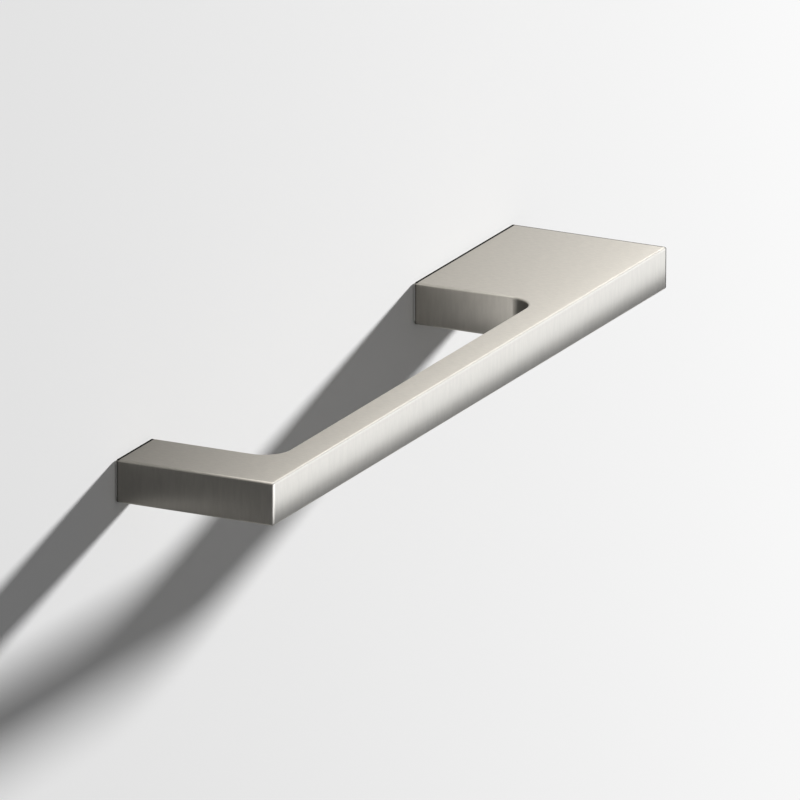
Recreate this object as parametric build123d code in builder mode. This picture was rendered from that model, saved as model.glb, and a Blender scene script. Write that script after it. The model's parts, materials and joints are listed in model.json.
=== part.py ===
"""Cabinet pull: a square-edged handle with a slim foot and a broad foot, cast in one piece.

The frame, in millimetres:
    X runs along the bar, from the slim foot to the broad foot
    Y is square to the cabinet front: the feet stand on the plane Y = 0 and the bar is at -Y
    Z is across the bar, and the part is the same above and below Z = 0
The origin is midway between the two fixing holes, on the plane that meets the cabinet front.
"""

import os
from math import radians, tan

from build123d import *

# Along the bar
hole_spacing = 160.0
slim_foot_width = 17.0
broad_foot_width = 49.0

# Out from the cabinet front
projection = 37.5
bar_depth = 7.7

# Across the bar
thickness = 9.6

# Bends and edges
inner_bend_radius = 6.0
edge_radius = 0.5
back_edge_radius = 0.3

# Blind hole for an M4 screw in the middle of each foot, drilled to the thread's core
tap_drill_diameter = 3.3
hole_depth = 12.0
hole_mouth_diameter = 4.1
countersink_angle = 90.0
drill_point_angle = 118.0

# Places that follow from the sizes, along X
slim_outer = -hole_spacing / 2 - slim_foot_width / 2
slim_inner = -hole_spacing / 2 + slim_foot_width / 2
broad_inner = hole_spacing / 2 - broad_foot_width / 2
broad_outer = hole_spacing / 2 + broad_foot_width / 2

# Depths that follow from the sizes
finger_gap_depth = projection - bar_depth
drill_point_depth = tap_drill_diameter / 2 / tan(radians(drill_point_angle / 2))

# The plane of the feet's backs, whose own Z points into the cabinet front
back_plane = Plane(origin=(0, 0, 0), x_dir=(1, 0, 0), z_dir=(0, 1, 0))


def outline():
    """The pull seen from above: an oblong, with the finger gap cut in from the cabinet side."""
    with BuildSketch(Plane.XY.offset(-thickness / 2)) as profile:
        with Locations((slim_outer, 0)):
            Rectangle(broad_outer - slim_outer, projection, align=(Align.MIN, Align.MAX))
        with Locations((slim_inner, 0)):
            Rectangle(
                broad_inner - slim_inner,
                finger_gap_depth,
                align=(Align.MIN, Align.MAX),
                mode=Mode.SUBTRACT,
            )
        gap_corners = profile.vertices().group_by(Axis.Y)[1]
        fillet(gap_corners, radius=inner_bend_radius)
    return profile.sketch


def off_the_back(edge):
    """True for an edge that doesn't lie in the plane of the feet's backs."""
    return edge.center().Y < -back_edge_radius


with BuildPart() as pull:
    # Bar and feet
    add(outline())
    extrude(amount=thickness)

    # Soft edges along both outlines and up the two outer corners
    outline_edges = pull.faces().filter_by(Axis.Z).edges().filter_by(off_the_back)
    outer_corners = pull.edges().filter_by(Axis.Z).group_by(Axis.Y)[0]
    fillet(outline_edges + outer_corners, radius=edge_radius)

    # Finer edges round the feet's backs, where they meet the cabinet front
    feet_backs = pull.faces().filter_by(Axis.Y).group_by(Axis.Y)[-1]
    fillet(feet_backs.edges(), radius=back_edge_radius)

    # Fixing holes, with a countersunk mouth
    with Locations(back_plane):
        with GridLocations(hole_spacing, 0, 2, 1):
            CounterSinkHole(
                radius=tap_drill_diameter / 2,
                counter_sink_radius=hole_mouth_diameter / 2,
                depth=hole_depth,
                counter_sink_angle=countersink_angle,
            )

    # The drill's point at the bottom of each hole
    with Locations(back_plane.offset(-hole_depth)):
        with GridLocations(hole_spacing, 0, 2, 1):
            Cone(
                bottom_radius=tap_drill_diameter / 2,
                top_radius=0,
                height=drill_point_depth,
                rotation=(180, 0, 0),
                align=(Align.CENTER, Align.CENTER, Align.MIN),
                mode=Mode.SUBTRACT,
            )

pull.part.label = "pull"

os.makedirs("parts", exist_ok=True)
export_step(pull.part, "parts/pull.step")
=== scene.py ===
"""Looks of the cabinet pull: brushed nickel, the screw threads in its two holes, and a plain pale studio.

Lengths are in metres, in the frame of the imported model:
    X runs along the bar, from the slim foot to the broad foot
    Y runs into the cabinet front, whose face is the plane Y = 0
    Z runs up across the bar
"""

import json
from math import cos, radians, sin

import bpy
import numpy as np
from bpy.props import FloatProperty, FloatVectorProperty, IntProperty, PointerProperty
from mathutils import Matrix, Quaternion, Vector


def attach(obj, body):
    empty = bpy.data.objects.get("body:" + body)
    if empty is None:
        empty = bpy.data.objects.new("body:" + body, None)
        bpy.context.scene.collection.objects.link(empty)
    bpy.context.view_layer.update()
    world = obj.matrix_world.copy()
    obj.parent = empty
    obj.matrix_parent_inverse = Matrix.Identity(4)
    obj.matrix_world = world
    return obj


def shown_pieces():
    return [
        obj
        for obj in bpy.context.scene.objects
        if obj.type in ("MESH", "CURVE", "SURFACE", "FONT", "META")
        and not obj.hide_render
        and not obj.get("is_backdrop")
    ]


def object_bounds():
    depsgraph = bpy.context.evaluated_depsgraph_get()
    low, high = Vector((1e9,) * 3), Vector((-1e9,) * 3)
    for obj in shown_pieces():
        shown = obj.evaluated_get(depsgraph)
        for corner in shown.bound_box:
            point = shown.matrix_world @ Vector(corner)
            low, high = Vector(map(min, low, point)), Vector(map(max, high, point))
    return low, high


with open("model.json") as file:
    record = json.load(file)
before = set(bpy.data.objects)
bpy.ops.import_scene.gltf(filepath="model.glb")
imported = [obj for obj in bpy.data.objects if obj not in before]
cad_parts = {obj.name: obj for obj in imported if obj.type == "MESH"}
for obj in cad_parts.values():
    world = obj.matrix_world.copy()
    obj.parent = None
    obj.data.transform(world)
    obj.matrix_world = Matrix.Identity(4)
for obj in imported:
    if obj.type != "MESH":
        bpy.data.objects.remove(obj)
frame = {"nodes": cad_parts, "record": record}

bl_info = {
    "name": "Cabinet Pull",
    "version": (1, 0, 0),
    "blender": (4, 5, 0),
    "location": "View3D > Sidebar > Cabinet Pull",
    "description": "Finishes a cast cabinet pull in brushed nickel and sets it on a pale cabinet front",
    "category": "Object",
}

MODEL_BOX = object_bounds()
RECORD = frame["record"]
NICKEL_SLOT = "brushed_nickel"


def nickel_in_record():
    """The record's own entry for the nickel finish."""
    found = [m for m in RECORD["materials"] if m["slot"] == NICKEL_SLOT]
    if not found:
        raise RuntimeError(f"the record has no material slot {NICKEL_SLOT}")
    return found[0]


def fixing_holes():
    """The record's own entry for the two fixing holes."""
    found = [m for m in RECORD["mounts"] if m["name"] == "fixing_holes"]
    if not found:
        raise RuntimeError("the record has no mount fixing_holes")
    return found[0]["dims"]


NICKEL = nickel_in_record()
HOLES = fixing_holes()
MM = 0.001
WHITE = (1.0, 1.0, 1.0)

# Brush lines: the noise they are made of, and the noise at which their colour is full
LINE_DETAIL = 4.0
LINE_DETAIL_STRENGTH = 0.65
LINE_NOISE_MIDDLE = 0.5
LINE_FULL = 0.2

# Brush lines on the faces above and below, as shares of those on upright faces
FLAT_LINE_WIDTH = 0.6
FLAT_LINE_LENGTH = 0.4
FLAT_LINE_STRENGTH = 3.0

# How sharply a face falls away: the power of the distance
UNDER_ROLL_POWER = 4.0
FRONT_ROLL_POWER = 3.0
END_ROLL_POWER = 2.0

# Part of the normal along Z from upright to flat, and along Y from a side to a foot's back
UPRIGHT_TO_FLAT = (0.3, 0.9)
SIDE_TO_BACK = (0.6, 0.95)

# Painted shade: where it is full as a share of its width, and its width and strength on upright faces
PAINTED_SHADE_FULL = 0.65
UPRIGHT_PAINTED_SHADE_WIDTH = 0.65
UPRIGHT_PAINTED_SHADE_STRENGTH = 0.5

# Thread: the ends that grow in turns, the least height there, and the section in radii and pitches
RUN_OUT_TURNS = 0.5
LEAST_HEIGHT = 0.02
ROOT_RADIUS = 1.02
ROOT_HALF_WIDTH = 0.46
CREST_HALF_WIDTH = 0.06

# Thread finish: shares of the nickel's colour between and in its lines, and the lines' length
THREAD_SHADE = 0.8
THREAD_LINE_SHADE = 0.65
THREAD_LINE_LENGTH = 1 / 8

# Oblongs of the cabinet front whose reflection in the metal is painted brighter or darker: left, right,
# bottom and top
GAP_PATCH = (-40 * MM, 9 * MM, -45 * MM, 0.0)
SIDE_PATCH = (-165 * MM, -105 * MM, -60 * MM, -12 * MM)
GAP_DIM = (-25 * MM, 90 * MM, -90 * MM, -12 * MM)
SOFT_EDGE = 12 * MM

# Heights between which the front's left is painted brighter in the metal's reflection
LIFT_HEIGHTS = (2 * MODEL_BOX[0].z, 3 * MODEL_BOX[1].z)

# How far the openings in the cabinet front stay inside the feet's outlines
OPENING_INSET = 0.6 * MM

# Parts of a direction along an axis between which a zone of the room fades in or out
OVERHEAD_UP = (0.35, 0.7)
FRONT_OUTWARD = (-0.2, -0.4)
FRONT_ALONG = (-0.6, 0.0)
FRONT_FADE_UP = (-0.1, 0.3)

# The window: cosines of the angle from its azimuth, and sines of the elevations of its two edges
WINDOW_COSINE = (0.6, 0.85)
WINDOW_BOTTOM = (sin(radians(-45.0)), sin(radians(-30.0)))
WINDOW_TOP = (sin(radians(20.0)), sin(radians(5.0)))

VIEW_CLIP_END = 100.0


class NickelSettings(bpy.types.PropertyGroup):
    """The nickel's colour and brush lines, the faces' roll-off and the painted shade in corners"""

    colour: FloatVectorProperty(
        name="Colour",
        description="Colour of the nickel where it faces the light",
        subtype="COLOR",
        size=3,
        min=0.0,
        max=1.0,
        default=NICKEL["base_color"],
    )
    roughness: FloatProperty(
        name="Roughness",
        description="How widely the satin surface spreads a reflection",
        default=0.35,
        min=0.05,
        max=1.0,
    )
    brushing: FloatProperty(
        name="Brushing",
        description="How much further a reflection spreads across the brush lines than along them",
        default=0.5,
        min=0.0,
        max=1.0,
    )
    roughness_play: FloatProperty(
        name="Roughness play",
        description="How much the roughness differs from one brush line to the next",
        default=0.06,
        min=0.0,
        max=0.5,
    )
    line_width: FloatProperty(
        name="Line width",
        description="Width of the widest brush lines",
        unit="LENGTH",
        default=0.8 * MM,
        min=0.01 * MM,
    )
    line_length: FloatProperty(
        name="Line length",
        description="Length over which a brush line fades out",
        unit="LENGTH",
        default=5.0 * MM,
        min=0.1 * MM,
    )
    line_depth: FloatProperty(
        name="Line depth",
        description="Depth of the brush lines",
        unit="LENGTH",
        default=0.0012 * MM,
        min=0.0,
    )
    line_contrast: FloatProperty(
        name="Line contrast",
        description="How much darker the colour is in a brush line",
        default=0.07,
        min=0.0,
        max=1.0,
    )
    under_roll: FloatProperty(
        name="Under roll",
        description="How far the upright faces have fallen away at their lower edge",
        unit="LENGTH",
        default=0.61 * MM,
        min=0.0,
    )
    front_roll: FloatProperty(
        name="Front roll",
        description="How far the faces above and below have fallen away at the bar's front",
        unit="LENGTH",
        default=0.1 * MM,
        min=0.0,
    )
    front_roll_width: FloatProperty(
        name="Front roll width",
        description="Distance from the bar's front at which those faces start to fall away",
        unit="LENGTH",
        default=8.0 * MM,
        min=0.01 * MM,
    )
    end_roll: FloatProperty(
        name="End roll",
        description="How far the faces have fallen away at the part's two ends",
        unit="LENGTH",
        default=0.15 * MM,
        min=0.0,
    )
    end_roll_width: FloatProperty(
        name="End roll width",
        description="Distance from the ends at which the faces start to fall away",
        unit="LENGTH",
        default=1.0 * MM,
        min=0.01 * MM,
    )
    # Painted shade: a dark colour laid where the feet meet the cabinet front, at the broad foot's end and in
    # the gap's bends
    painted_shade_colour: FloatVectorProperty(
        name="Polish colour",
        description="Colour of the polish that has collected in corners and at edges",
        subtype="COLOR",
        size=3,
        min=0.0,
        max=1.0,
        default=(0.02, 0.02, 0.02),
    )
    painted_shade_width: FloatProperty(
        name="Dark edge width",
        description="Distance from the feet's backs at which the polish starts",
        unit="LENGTH",
        default=0.95 * MM,
        min=0.01 * MM,
    )
    end_painted_shade: FloatProperty(
        name="End darkness",
        description="How much polish has collected at the broad foot's end",
        default=0.7,
        min=0.0,
        max=1.0,
    )
    bend_painted_shade: FloatProperty(
        name="Bend darkness",
        description="How much polish has collected in the finger gap's two bends",
        default=0.55,
        min=0.0,
        max=1.0,
    )
    bend_radius: FloatProperty(
        name="Bend radius",
        description="Radius of the finger gap's two bends",
        unit="LENGTH",
        default=6.0 * MM,
        min=0.1 * MM,
    )
    gap_depth: FloatProperty(
        name="Gap depth",
        description="Depth of the finger gap from the cabinet front to the bar",
        unit="LENGTH",
        default=29.8 * MM,
        min=0.1 * MM,
    )
    bend_edge: FloatProperty(
        name="Bend edge",
        description="Distance over which the polish in the bends fades out",
        unit="LENGTH",
        default=1.5 * MM,
        min=0.01 * MM,
    )


class ThreadSettings(bpy.types.PropertyGroup):
    """The size of the screw thread in each hole"""

    pitch: FloatProperty(
        name="Pitch",
        description="Distance from one turn of the thread to the next",
        unit="LENGTH",
        default=0.7 * MM,
        min=0.1 * MM,
    )
    height: FloatProperty(
        name="Height",
        description="How far the thread's crest stands in from the wall of the hole",
        unit="LENGTH",
        default=0.2 * MM,
        min=0.01 * MM,
    )
    first_turn: FloatProperty(
        name="First turn",
        description="Depth below the foot's back at which the thread starts",
        unit="LENGTH",
        default=0.75 * MM,
        min=0.0,
    )
    turns: FloatProperty(
        name="Turns",
        description="Number of turns of the thread",
        default=13.0,
        min=1.0,
    )
    turn_steps: IntProperty(
        name="Steps a turn",
        description="Number of steps in one turn of the mesh",
        default=48,
        min=12,
    )


class StudioSettings(bpy.types.PropertyGroup):
    """The camera, the cabinet front, the lamps and the room"""

    view_azimuth: FloatProperty(
        name="View azimuth",
        description="Turn of the camera round the pull, from the view square on to the cabinet front",
        subtype="ANGLE",
        default=radians(-63.89),
    )
    view_elevation: FloatProperty(
        name="View elevation",
        description="Height of the camera above the pull",
        subtype="ANGLE",
        default=radians(17.33),
    )
    view_roll: FloatProperty(
        name="View roll",
        description="Tilt of the camera, with its right side up",
        subtype="ANGLE",
        default=radians(0.26),
    )
    view_distance: FloatProperty(
        name="View distance",
        description="Distance from the camera to the point that it looks at",
        unit="LENGTH",
        default=5.625,
    )
    view_point: FloatVectorProperty(
        name="View point",
        description="The point in the middle of the picture",
        subtype="XYZ",
        unit="LENGTH",
        size=3,
        default=(7.72 * MM, -20.10 * MM, -5.88 * MM),
    )
    lens: FloatProperty(
        name="Lens",
        description="Focal length in millimetres, on a sensor 36 mm wide",
        default=1173.3,
    )
    front_colour: FloatVectorProperty(
        name="Front colour",
        description="Colour of the painted cabinet front",
        subtype="COLOR",
        size=3,
        min=0.0,
        max=1.0,
        default=(0.86, 0.86, 0.86),
    )
    # Painted reflection: how bright and how tinted the metal sees the cabinet front, apart from its real
    # paint
    shade_colour: FloatVectorProperty(
        name="Shade colour",
        description="Tint of the front in the metal",
        subtype="COLOR",
        size=3,
        min=0.0,
        max=1.0,
        default=(1.0, 0.99, 0.972),
    )
    side_light: FloatProperty(
        name="Side light",
        description="Brightness, in the metal, of the patch of the front below and left of the slim foot",
        default=0.09,
    )
    gap_dim: FloatProperty(
        name="Gap dimness",
        description="How much darker the metal sees the front below the finger gap's broad end",
        default=0.6,
        min=0.0,
        max=1.0,
    )
    shade_lift: FloatProperty(
        name="Shade lift",
        description="Extra brightness of the front's left in the metal from the pull's height upwards",
        default=0.15,
    )
    patch_light: FloatProperty(
        name="Patch light",
        description="Brightness, in the metal, of the patch of the front behind the middle of the bar",
        default=2.7,
    )
    shade_above: FloatProperty(
        name="Shade above",
        description="Extra brightness of the front's upper part in the metal, as a share of its paint",
        default=1.7,
    )
    shade_above_start: FloatProperty(
        name="Shade above, start",
        description="Height over the pull at which that brightness starts",
        unit="LENGTH",
        default=47 * MM,
    )
    shade_above_end: FloatProperty(
        name="Shade above, end",
        description="Height over the pull at which it is full",
        unit="LENGTH",
        default=80 * MM,
    )
    shade_left: FloatProperty(
        name="Shade left",
        description="Brightness of the front's left in the metal, as a share of its paint",
        default=0.05,
    )
    shade_right: FloatProperty(
        name="Shade right",
        description="Brightness of the front's right in the metal, as a share of its paint",
        default=1.12,
    )
    shade_width: FloatProperty(
        name="Shade width",
        description="Distance to each side over which that brightness changes",
        unit="LENGTH",
        default=0.26,
    )
    front_size: FloatProperty(
        name="Front size",
        description="Length of each side of the cabinet front",
        unit="LENGTH",
        default=3.0,
    )
    standoff: FloatProperty(
        name="Standoff",
        description="Gap between the feet and the cabinet front",
        unit="LENGTH",
        default=0.2 * MM,
    )
    key_azimuth: FloatProperty(
        name="Key azimuth",
        description="Direction of the key lamp round the cabinet front's face, up from the broad foot's end",
        subtype="ANGLE",
        default=radians(14.0),
    )
    key_height: FloatProperty(
        name="Key height",
        description="Angle of the key lamp's light to the cabinet front",
        subtype="ANGLE",
        default=radians(12.6),
    )
    key_distance: FloatProperty(
        name="Key distance",
        description="Distance from the pull to the key lamp",
        unit="LENGTH",
        default=4.0,
    )
    key_size: FloatProperty(
        name="Key size",
        description="Diameter of the key lamp, which softens the shadow",
        unit="LENGTH",
        default=0.32,
    )
    key_power: FloatProperty(
        name="Key power",
        description="Power of the key lamp in watts",
        default=560.0,
    )
    glow_size: FloatProperty(
        name="Glow size",
        description="Diameter of the soft lamp that puts the highlight on the pull's edges",
        unit="LENGTH",
        default=1.2,
    )
    glow_power: FloatProperty(
        name="Glow power",
        description="Power of that soft lamp in watts",
        default=12.0,
    )
    room_light: FloatProperty(
        name="Room light",
        description="Brightness of the room's light on the cabinet front",
        default=0.18,
    )
    room_backdrop: FloatProperty(
        name="Room backdrop",
        description="Brightness of the room where the camera looks past the cabinet front",
        default=0.85,
    )
    room_bright: FloatProperty(
        name="Room in front",
        description="Brightness, in the metal, of the room in front of the pull",
        default=2.25,
    )
    room_colour: FloatVectorProperty(
        name="Room colour",
        description="Colour of the room that the metal reflects",
        subtype="COLOR",
        size=3,
        min=0.0,
        max=1.0,
        default=(0.92, 0.95, 1.0),
    )
    room_window: FloatProperty(
        name="Room window",
        description="Extra brightness of the window in the room, which lights up the upright edges",
        default=1.7,
    )
    window_azimuth: FloatProperty(
        name="Window azimuth",
        description="Direction of that window, measured as the camera's azimuth is",
        subtype="ANGLE",
        default=radians(-20.0),
    )
    metal_glow: FloatProperty(
        name="Metal glow",
        description="Share of the metal's reflections that falls back on the cabinet front",
        default=0.25,
        min=0.0,
        max=1.0,
    )
    room_above: FloatProperty(
        name="Room overhead",
        description="Brightness overhead: 0 is that of the room below, and 1 that of the room in front",
        default=0.5,
        min=0.0,
        max=1.0,
    )
    room_fade: FloatProperty(
        name="Room fade",
        description="How much less bright the room in front is above the pull than level with it",
        default=0.6,
        min=0.0,
        max=1.0,
    )
    room_dim: FloatProperty(
        name="Room below",
        description="Brightness of the room that the metal reflects below the bright zone",
        default=0.23,
    )
    dim_top: FloatProperty(
        name="Dim zone's top",
        description="Elevation at which the room starts to darken downwards",
        subtype="ANGLE",
        default=radians(-17.0),
    )
    dim_bottom: FloatProperty(
        name="Dim zone's bottom",
        description="Elevation below which the room is dim",
        subtype="ANGLE",
        default=radians(-22.0),
    )


class Wire:
    """The number, colour or vector that leaves one socket. Sums and products of numbers add Math nodes."""

    def __init__(self, tree, socket):
        self.tree = tree
        self.socket = socket

    def __add__(self, other):
        return self.tree.math("ADD", self, other)

    def __sub__(self, other):
        return self.tree.math("SUBTRACT", self, other)

    def __rsub__(self, other):
        return self.tree.math("SUBTRACT", other, self)

    def __mul__(self, other):
        return self.tree.math("MULTIPLY", self, other)

    def __truediv__(self, other):
        return self.tree.math("DIVIDE", self, other)

    def __pow__(self, other):
        return self.tree.math("POWER", self, other)

    def __abs__(self):
        return self.tree.math("ABSOLUTE", self)

    __radd__ = __add__
    __rmul__ = __mul__


class Tree:
    """The nodes of one material or world, cleared first and then built up by node() and by sums on Wires."""

    def __init__(self, owner):
        owner.use_nodes = True
        self.nodes = owner.node_tree.nodes
        self.links = owner.node_tree.links
        self.nodes.clear()

    def node(self, kind, settings=(), inputs=(), output=0):
        """Adds a node, makes its settings, fills its sockets with values or Wires, and gives one output."""
        made = self.nodes.new(kind)
        for name, value in dict(settings).items():
            setattr(made, name, value)
        for name, value in dict(inputs).items():
            if isinstance(value, Wire):
                self.links.new(value.socket, made.inputs[name])
            else:
                made.inputs[name].default_value = value
        return Wire(self, made.outputs[output]) if made.outputs else made

    def math(self, operation, *values):
        """One Math node on up to three values."""
        return self.node("ShaderNodeMath", {"operation": operation}, enumerate(values))

    def vector(self, operation, *values):
        """One Vector Math node on up to three vectors."""
        return self.node("ShaderNodeVectorMath", {"operation": operation}, enumerate(values))

    def split(self, vector):
        """The X, Y and Z of a vector."""
        first = self.node("ShaderNodeSeparateXYZ", inputs={"Vector": vector})
        return [Wire(self, socket) for socket in first.socket.node.outputs]

    def ramp(self, value, start, end):
        """0 where the value is at start, 1 where it is at end, and smooth between."""
        settings = {"interpolation_type": "SMOOTHSTEP"}
        inputs = {"Value": value, "From Min": start, "From Max": end}
        return self.node("ShaderNodeMapRange", settings, inputs)

    def mix_colours(self, factor, first, second):
        """The first colour where the factor is 0, and the second where it is 1.

        The node's sockets for colours go by number, because those for numbers have the same names.
        """
        factor_socket, first_socket, second_socket = 0, 6, 7
        inputs = {factor_socket: factor, first_socket: first, second_socket: second}
        return self.node("ShaderNodeMix", {"data_type": "RGBA"}, inputs, "Result")

    def mix_shaders(self, factor, first, second):
        """The first shader where the factor is 0, and the second where it is 1."""
        return self.node("ShaderNodeMixShader", inputs=enumerate((factor, first, second)))


def four(colour):
    """A colour with its alpha."""
    return (*colour, 1.0)


def brush_lines(tree, place, along, line_width, line_length):
    """Noise from -0.5 to 0.5 that is long along one axis and fine across it: brush lines."""
    scale = [1 / line_width] * 3
    scale["XYZ".index(along)] = 1 / line_length
    stretched = tree.vector("MULTIPLY", place, scale)
    inputs = {
        "Vector": stretched,
        "Scale": 1.0,
        "Detail": LINE_DETAIL,
        "Roughness": LINE_DETAIL_STRENGTH,
    }
    return tree.node("ShaderNodeTexNoise", inputs=inputs) - LINE_NOISE_MIDDLE


def fall(tree, distance, width, power):
    """How far a face has fallen away towards an edge: 1 on the edge, and 0 from a width away."""
    near = tree.math("MAXIMUM", 1 - distance / width, 0.0)
    return near**power


def nickel_relief(tree, place, lines, settings):
    """Height of the surface in metres: the brush lines, and faces that are rolled off at edges.

    A face falls away towards its lower edge, towards the bar's front and towards the part's two ends.
    """
    low, high = MODEL_BOX
    x, y, z = tree.split(place)
    under = fall(tree, z - low.z, high.z - low.z, UNDER_ROLL_POWER) * settings.under_roll
    front = fall(tree, y - low.y, settings.front_roll_width, FRONT_ROLL_POWER) * settings.front_roll
    left_end = fall(tree, x - low.x, settings.end_roll_width, END_ROLL_POWER)
    right_end = fall(tree, high.x - x, settings.end_roll_width, END_ROLL_POWER)
    return lines * settings.line_depth - under - front - (left_end + right_end) * settings.end_roll


def lined_colour(tree, lines, colour, between, in_lines):
    """A colour times one share between the brush lines and another in them."""
    first = four([c * between for c in colour])
    second = four([c * in_lines for c in colour])
    return tree.mix_colours(tree.ramp(lines, LINE_FULL, -LINE_FULL), first, second)


def painted_edge_shade(tree, place, flat, backwards, settings):
    """Where shade is painted dark, from 0 to 1.

    It lies round the feet's backs, where they meet the cabinet front, half as strong on upright faces
    and not on the backs themselves, at the broad foot's end, and in the finger gap's two bends.
    """
    x, y, _ = tree.split(place)
    width = settings.painted_shade_width
    reach = flat * (1 - UPRIGHT_PAINTED_SHADE_WIDTH) + UPRIGHT_PAINTED_SHADE_WIDTH
    strength = flat * (1 - UPRIGHT_PAINTED_SHADE_STRENGTH) + UPRIGHT_PAINTED_SHADE_STRENGTH
    back = tree.ramp(y / reach, -width, -width * PAINTED_SHADE_FULL) * strength
    back = back * (1 - tree.ramp(backwards, *SIDE_TO_BACK))
    end = tree.ramp(MODEL_BOX[1].x - x, width, width * PAINTED_SHADE_FULL) * settings.end_painted_shade
    bend = gap_bends(tree, x, y, settings) * (1 - flat) * settings.bend_painted_shade
    return tree.math("MAXIMUM", tree.math("MAXIMUM", back, end), bend)


def gap_bends(tree, x, y, settings):
    """1 in the finger gap's two bends and 0 elsewhere on the upright faces.

    Each foot has its hole in its middle, so the gap's sides follow from the holes and the two ends.
    """
    low, high = MODEL_BOX
    gap_middle = -(low.x + high.x) / 2
    half_gap = HOLES["spacing_x_mm"] * MM - (high.x - low.x) / 2
    inner = half_gap - settings.bend_radius
    start = settings.bend_radius - settings.gap_depth
    end = -settings.gap_depth
    edge = settings.bend_edge
    beside = abs(x - gap_middle)
    within_x = tree.ramp(beside, inner, inner + edge)
    within_x = within_x * tree.ramp(beside, half_gap + 2 * edge, half_gap + edge)
    within_y = tree.ramp(y, start, start - edge) * tree.ramp(y, end - edge, end)
    return within_x * within_y


def nickel_lines(tree, place, flat, settings):
    """Brush lines: up and down on upright faces, and finer ones from front to back on the others."""
    width = settings.line_width
    length = settings.line_length
    upright_lines = brush_lines(tree, place, "Z", width, length)
    flat_lines = brush_lines(tree, place, "Y", width * FLAT_LINE_WIDTH, length * FLAT_LINE_LENGTH)
    return upright_lines * (1 - flat) + flat_lines * flat * FLAT_LINE_STRENGTH


def nickel_material(settings):
    """Satin nickel with shade painted dark in its corners and at its edges.

    The upright faces spread a reflection further sideways than up and down. The others spread it evenly.
    """
    material = bpy.data.materials.new("brushed_nickel_finish")
    tree = Tree(material)
    place = tree.node("ShaderNodeTexCoord", output="Object")
    facing = tree.node("ShaderNodeTexCoord", output="Normal")
    _, backwards, upwards = tree.split(facing)
    flat = tree.ramp(abs(upwards), *UPRIGHT_TO_FLAT)
    lines = nickel_lines(tree, place, flat, settings)
    relief = nickel_relief(tree, place, lines, settings)
    surface = {
        "Base Color": lined_colour(tree, lines, settings.colour, 1.0, 1 - settings.line_contrast),
        "Metallic": 1.0,
        "Roughness": lines * settings.roughness_play + settings.roughness,
        "Normal": tree.node("ShaderNodeBump", inputs={"Strength": 1.0, "Distance": 1.0, "Height": relief}),
    }
    upright = tree.node("ShaderNodeBsdfPrincipled", inputs={**surface, "Anisotropic": settings.brushing})
    level = tree.node("ShaderNodeBsdfPrincipled", inputs=surface)
    nickel = tree.mix_shaders(flat, upright, level)
    # Painted shade: a dark matt coat mixed over the nickel wherever the mask above says
    shade_paint = tree.node("ShaderNodeBsdfDiffuse", inputs={"Color": four(settings.painted_shade_colour)})
    shader = tree.mix_shaders(painted_edge_shade(tree, place, flat, backwards, settings), nickel, shade_paint)
    tree.node("ShaderNodeOutputMaterial", inputs={"Surface": shader})
    return material


def thread_material(settings):
    """Tapped metal under a thin coat of nickel: a little darker, with fine lines round the hole."""
    material = bpy.data.materials.new("tapped_thread_finish")
    tree = Tree(material)
    place = tree.node("ShaderNodeTexCoord", output="Object")
    lines = brush_lines(tree, place, "Y", settings.line_width, settings.line_width * THREAD_LINE_LENGTH)
    surface = {
        "Base Color": lined_colour(tree, lines, settings.colour, THREAD_SHADE, THREAD_LINE_SHADE),
        "Metallic": 1.0,
        "Roughness": lines * settings.roughness_play + settings.roughness,
    }
    shader = tree.node("ShaderNodeBsdfPrincipled", inputs=surface)
    tree.node("ShaderNodeOutputMaterial", inputs={"Surface": shader})
    return material


def thread_mesh(name, centre_x, hole_radius, thread):
    """A ridge that winds into a hole along -Y, as the thread of a right-handed screw's hole.

    Two parameters run over the surface: the turn angle t and the place round the section. The point is
        (centre + r cos t, -first turn - pitch t / (2 pi) + y, r sin t)
    where (r, y) goes round four corners: two at the root, just inside the hole's wall, and two on the
    crest. The crest grows from almost nothing at the first end and shrinks back at the last.
    """
    steps = int(thread.turns * thread.turn_steps) + 1
    turn = np.linspace(0, thread.turns, steps)
    grown = np.clip(np.minimum(turn, thread.turns - turn) / RUN_OUT_TURNS, LEAST_HEIGHT, 1.0)
    root = np.full(steps, ROOT_RADIUS * hole_radius)
    crest = hole_radius - thread.height * grown
    section_r = np.stack([root, crest, crest, root], axis=1)
    half_widths = [ROOT_HALF_WIDTH, CREST_HALF_WIDTH, -CREST_HALF_WIDTH, -ROOT_HALF_WIDTH]
    section_y = thread.pitch * np.array(half_widths)
    angle = 2 * np.pi * turn[:, None]
    x = centre_x + section_r * np.cos(angle)
    y = -thread.first_turn - thread.pitch * turn[:, None] + section_y
    z = section_r * np.sin(angle)
    points = np.stack([x, np.broadcast_to(y, x.shape), z], axis=-1)
    return closed_tube(name, points)


def closed_tube(name, points):
    """A mesh from a grid of points, whose first index runs along a tube and whose second runs round it."""
    along, around, _ = points.shape
    start = np.arange(along - 1)[:, None] * around + np.arange(around)
    beside = np.arange(along - 1)[:, None] * around + (np.arange(around) + 1) % around
    sides = np.stack([start, beside, beside + around, start + around], axis=-1).reshape(-1, 4)
    first_end = np.arange(around)[::-1]
    last_end = (along - 1) * around + np.arange(around)
    mesh = bpy.data.meshes.new(name)
    mesh.from_pydata(points.reshape(-1, 3), [], [*sides, first_end, last_end])
    mesh.update()
    return mesh


def put_in_scene(mesh, material):
    """A new object for a mesh, at the origin, with one material."""
    mesh.materials.append(material)
    made = bpy.data.objects.new(mesh.name, mesh)
    bpy.context.scene.collection.objects.link(made)
    return made


class PULL_OT_brushed_nickel(bpy.types.Operator):
    """Finish the pull in brushed nickel"""

    bl_idname = "cabinet_pull.brushed_nickel"
    bl_label = "Brushed nickel"

    def execute(self, context):
        pull = frame["nodes"].get("pull")
        if pull is None:
            raise RuntimeError("the packed model has no node pull")
        material = nickel_material(context.scene.pull_nickel)
        for slot in pull.material_slots:
            slot.material = material
        return {"FINISHED"}


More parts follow.
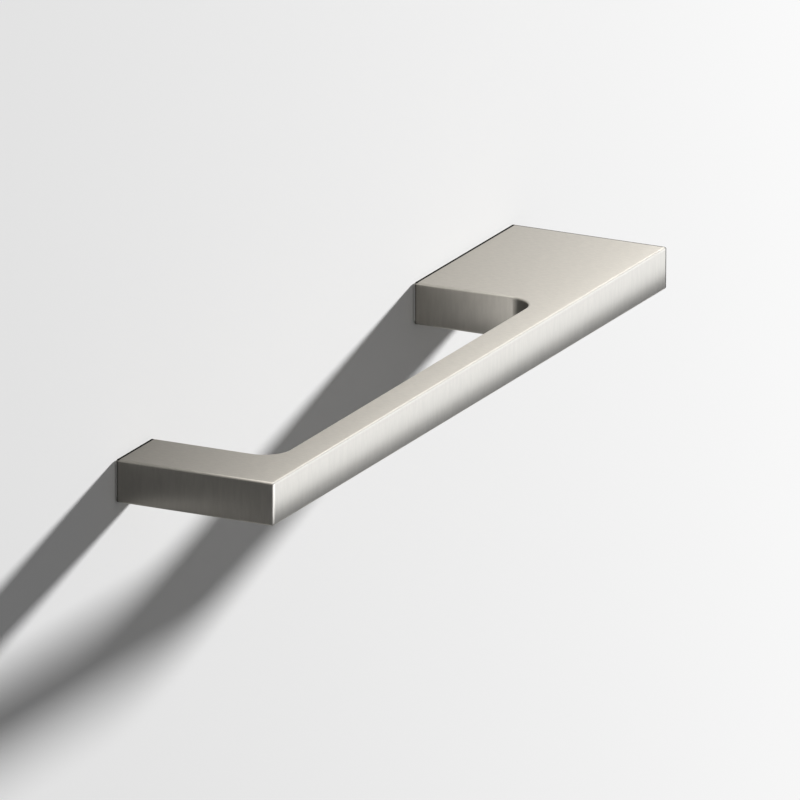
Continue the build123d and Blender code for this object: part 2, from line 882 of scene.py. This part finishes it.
class PULL_OT_screw_threads(bpy.types.Operator):
    """Add the screw thread in each foot's fixing hole"""

    bl_idname = "cabinet_pull.screw_threads"
    bl_label = "Screw threads"

    def execute(self, context):
        thread = context.scene.pull_thread
        material = thread_material(context.scene.pull_nickel)
        hole_radius = HOLES["hole_r_mm"] * MM
        half_spacing = HOLES["spacing_x_mm"] * MM / 2
        for name, centre_x in (("thread_slim_foot", -half_spacing), ("thread_broad_foot", half_spacing)):
            ridge = put_in_scene(thread_mesh(name, centre_x, hole_radius, thread), material)
            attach(ridge, "root")
        return {"FINISHED"}


def seen_in_metal(tree, settings):
    """1 for what the camera sees in the metal, less for what the paint does, and 0 for anything else."""
    glossy = tree.node("ShaderNodeLightPath", output="Is Glossy Ray")
    matt_bounces = tree.node("ShaderNodeLightPath", output="Diffuse Depth")
    from_paint = tree.math("MINIMUM", matt_bounces, 1.0)
    return glossy * (1 - from_paint * (1 - settings.metal_glow))


def soft_box(tree, along, up, box):
    """1 inside an oblong of the cabinet front, and fading to 0 at its edges."""
    left, right, bottom, top = box
    across = tree.ramp(along, left, left + SOFT_EDGE) * tree.ramp(along, right, right - SOFT_EDGE)
    return across * tree.ramp(up, bottom, bottom + SOFT_EDGE) * tree.ramp(up, top, top - SOFT_EDGE)


def front_shade(tree, along, up, settings):
    """Painted brightness of the front in the metal's reflection, as a share of its paint.

    It grows from left to right, grows again high above the pull and on the left from the pull's height
    upwards, and is less below the finger gap's broad end.
    """
    sideways = tree.ramp(along, -settings.shade_width, settings.shade_width)
    shade = sideways * (settings.shade_right - settings.shade_left) + settings.shade_left
    lift = tree.ramp(up, *LIFT_HEIGHTS) * (1 - sideways) * settings.shade_lift
    upwards = tree.ramp(up, settings.shade_above_start, settings.shade_above_end) * settings.shade_above
    dim = soft_box(tree, along, up, GAP_DIM) * settings.gap_dim
    return (shade + lift + upwards) * (1 - dim)


def front_material(settings):
    """Matt pale paint, which isn't seen from behind.
    Its reflection in the metal is painted: shaded from left to right, with glowing patches where there is no
    lamp.
    """
    material = bpy.data.materials.new("cabinet_front_paint")
    tree = Tree(material)
    along, _, up = tree.split(tree.node("ShaderNodeTexCoord", output="Object"))
    in_metal = seen_in_metal(tree, settings)
    warm = [plain * tint for plain, tint in zip(settings.front_colour, settings.shade_colour)]
    # Painted reflection: the front's colour as only the metal sees it, shaded by place
    shaded = tree.vector("MULTIPLY", warm, front_shade(tree, along, up, settings))
    colour = tree.mix_colours(in_metal, four(settings.front_colour), shaded)
    # Painted reflection: patches that glow only in the metal, where there is no lamp
    painted_glow = (
        soft_box(tree, along, up, GAP_PATCH) * settings.patch_light
        + soft_box(tree, along, up, SIDE_PATCH) * settings.side_light
    )
    surface = {
        "Base Color": colour,
        "Roughness": 1.0,
        "Specular IOR Level": 0.0,
        "Emission Color": in_metal * painted_glow,
        "Emission Strength": 1.0,
    }
    paint = tree.node("ShaderNodeBsdfPrincipled", inputs=surface)
    nothing = tree.node("ShaderNodeBsdfTransparent")
    from_behind = tree.node("ShaderNodeNewGeometry", output="Backfacing")
    shader = tree.mix_shaders(from_behind, paint, nothing)
    tree.node("ShaderNodeOutputMaterial", inputs={"Surface": shader})
    material.cycles.emission_sampling = "NONE"
    return material


def front_mesh(settings):
    """The cabinet front: a flat sheet that faces -Y, with an opening behind each foot.

    Its points are a grid of X lines and Z lines, and the two cells behind the feet are left out. The
    feet cover the openings, which let light from behind fall on the feet's backs.
    """
    low, high = MODEL_BOX
    half = settings.front_size / 2
    hole_x = HOLES["spacing_x_mm"] * MM / 2
    slim_half = -hole_x - low.x - OPENING_INSET
    broad_half = high.x - hole_x - OPENING_INSET
    slim_opening = (-hole_x - slim_half, -hole_x + slim_half)
    broad_opening = (hole_x - broad_half, hole_x + broad_half)
    xs = np.array([-half, *slim_opening, *broad_opening, half])
    zs = np.array([-half, low.z + OPENING_INSET, high.z - OPENING_INSET, half])
    grid_x, grid_z = np.meshgrid(xs, zs, indexing="ij")
    points = np.stack([grid_x, np.full(grid_x.shape, settings.standoff), grid_z], axis=-1).reshape(-1, 3)
    column, row = np.meshgrid(np.arange(len(xs) - 1), np.arange(len(zs) - 1), indexing="ij")
    opening = (row == 1) & np.isin(column, (1, 3))
    corner = (column * len(zs) + row)[~opening]
    faces = np.stack([corner, corner + len(zs), corner + len(zs) + 1, corner + 1], axis=-1)
    mesh = bpy.data.meshes.new("cabinet_front")
    mesh.from_pydata(points, [], faces.tolist())
    mesh.update()
    return mesh


def disk_lamp(name, settings, size, power, lit):
    """A round lamp in the key direction, aimed at the origin, that lights one collection."""
    out = sin(settings.key_height)
    level = cos(settings.key_height)
    towards = Vector((level * cos(settings.key_azimuth), -out, level * sin(settings.key_azimuth)))
    light = bpy.data.lights.new(name, "AREA")
    light.shape = "DISK"
    light.size = size
    light.energy = power
    lamp = bpy.data.objects.new(name, light)
    lamp.location = towards * settings.key_distance
    lamp.rotation_mode = "QUATERNION"
    lamp.rotation_quaternion = (-towards).to_track_quat("-Z", "Y")
    lamp.light_linking.receiver_collection = lit
    bpy.context.scene.collection.objects.link(lamp)


def room_in_metal(tree, settings):
    """Brightness of the room in the metal: dim, but for a zone in front, light overhead and a window."""
    along, outward, up = tree.split(tree.node("ShaderNodeTexCoord", output="Generated"))
    overhead = tree.ramp(up, *OVERHEAD_UP) * settings.room_above
    front = tree.ramp(outward, *FRONT_OUTWARD) * tree.ramp(along, *FRONT_ALONG)
    front = front * tree.ramp(up, sin(settings.dim_bottom), sin(settings.dim_top))
    front = front * (1 - tree.ramp(up, *FRONT_FADE_UP) * settings.room_fade)
    bright = tree.math("MAXIMUM", overhead, front) * (settings.room_bright - settings.room_dim)
    towards_window = along * sin(settings.window_azimuth) - outward * cos(settings.window_azimuth)
    window = tree.ramp(towards_window, *WINDOW_COSINE)
    window = window * tree.ramp(up, *WINDOW_BOTTOM) * tree.ramp(up, *WINDOW_TOP)
    return bright + settings.room_dim + window * settings.room_window


def room_world(settings):
    """The room: pale where the camera sees it, dim for matt surfaces, and uneven in the metal."""
    world = bpy.data.worlds.new("studio_room")
    tree = Tree(world)
    camera = tree.node("ShaderNodeLightPath", output="Is Camera Ray")
    in_metal = seen_in_metal(tree, settings)
    strength = (
        camera * settings.room_backdrop
        + in_metal * room_in_metal(tree, settings)
        + (1 - camera) * (1 - in_metal) * settings.room_light
    )
    colour = tree.mix_colours(in_metal, four(WHITE), four(settings.room_colour))
    background = tree.node("ShaderNodeBackground", inputs={"Color": colour, "Strength": strength})
    tree.node("ShaderNodeOutputWorld", inputs={"Surface": background})
    world.cycles.sampling_method = "NONE"
    return world


def add_camera(settings):
    """A camera on a long lens, placed by its azimuth, elevation, roll and distance from the view point."""
    level = cos(settings.view_elevation)
    back = Vector(
        (
            sin(settings.view_azimuth) * level,
            -cos(settings.view_azimuth) * level,
            sin(settings.view_elevation),
        )
    )
    lens = bpy.data.cameras.new("camera")
    lens.lens = settings.lens
    lens.clip_end = VIEW_CLIP_END
    camera = bpy.data.objects.new("camera", lens)
    camera.location = Vector(settings.view_point) + back * settings.view_distance
    camera.rotation_mode = "QUATERNION"
    camera.rotation_quaternion = Quaternion(back, settings.view_roll) @ (-back).to_track_quat("-Z", "Y")
    bpy.context.scene.collection.objects.link(camera)
    bpy.context.scene.camera = camera


def collection_of(name, objects):
    """A collection that holds these objects, for lamps to light."""
    made = bpy.data.collections.new(name)
    for thing in objects:
        made.objects.link(thing)
    return made


class PULL_OT_studio(bpy.types.Operator):
    """Set up the pale cabinet front, the lamps, the room and the camera"""

    bl_idname = "cabinet_pull.studio"
    bl_label = "Studio"

    def execute(self, context):
        settings = context.scene.pull_studio
        add_camera(settings)
        front = put_in_scene(front_mesh(settings), front_material(settings))
        front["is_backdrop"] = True
        lit_front = collection_of("lit_front", [front])
        lit_pull = collection_of("lit_pull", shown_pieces())
        disk_lamp("key_lamp", settings, settings.key_size, settings.key_power, lit_front)
        disk_lamp("glow_lamp", settings, settings.glow_size, settings.glow_power, lit_pull)
        context.scene.world = room_world(settings)
        context.scene.view_settings.view_transform = "Standard"
        return {"FINISHED"}


class PULL_PT_panel(bpy.types.Panel):
    """The pull's steps and settings"""

    bl_idname = "PULL_PT_panel"
    bl_label = "Cabinet Pull"
    bl_space_type = "VIEW_3D"
    bl_region_type = "UI"
    bl_category = "Cabinet Pull"

    def draw(self, context):
        for operator, settings in STEPS:
            box = self.layout.box()
            box.operator(operator)
            group = getattr(context.scene, settings)
            for name in group.bl_rna.properties.keys():
                if name not in ("rna_type", "name"):
                    box.prop(group, name)


STEPS = (
    ("cabinet_pull.brushed_nickel", "pull_nickel"),
    ("cabinet_pull.screw_threads", "pull_thread"),
    ("cabinet_pull.studio", "pull_studio"),
)
CLASSES = (
    NickelSettings,
    ThreadSettings,
    StudioSettings,
    PULL_OT_brushed_nickel,
    PULL_OT_screw_threads,
    PULL_OT_studio,
    PULL_PT_panel,
)


def register():
    """Register the classes and put their settings in the scene."""
    for made in CLASSES:
        bpy.utils.register_class(made)
    bpy.types.Scene.pull_nickel = PointerProperty(type=NickelSettings)
    bpy.types.Scene.pull_thread = PointerProperty(type=ThreadSettings)
    bpy.types.Scene.pull_studio = PointerProperty(type=StudioSettings)


def unregister():
    """Take the settings and the classes out again."""
    for _, settings in STEPS:
        delattr(bpy.types.Scene, settings)
    for made in reversed(CLASSES):
        bpy.utils.unregister_class(made)


def main():
    """Make every piece and the studio."""
    register()
    bpy.ops.cabinet_pull.brushed_nickel()
    bpy.ops.cabinet_pull.screw_threads()
    bpy.ops.cabinet_pull.studio()


if __name__ == "__main__":
    main()
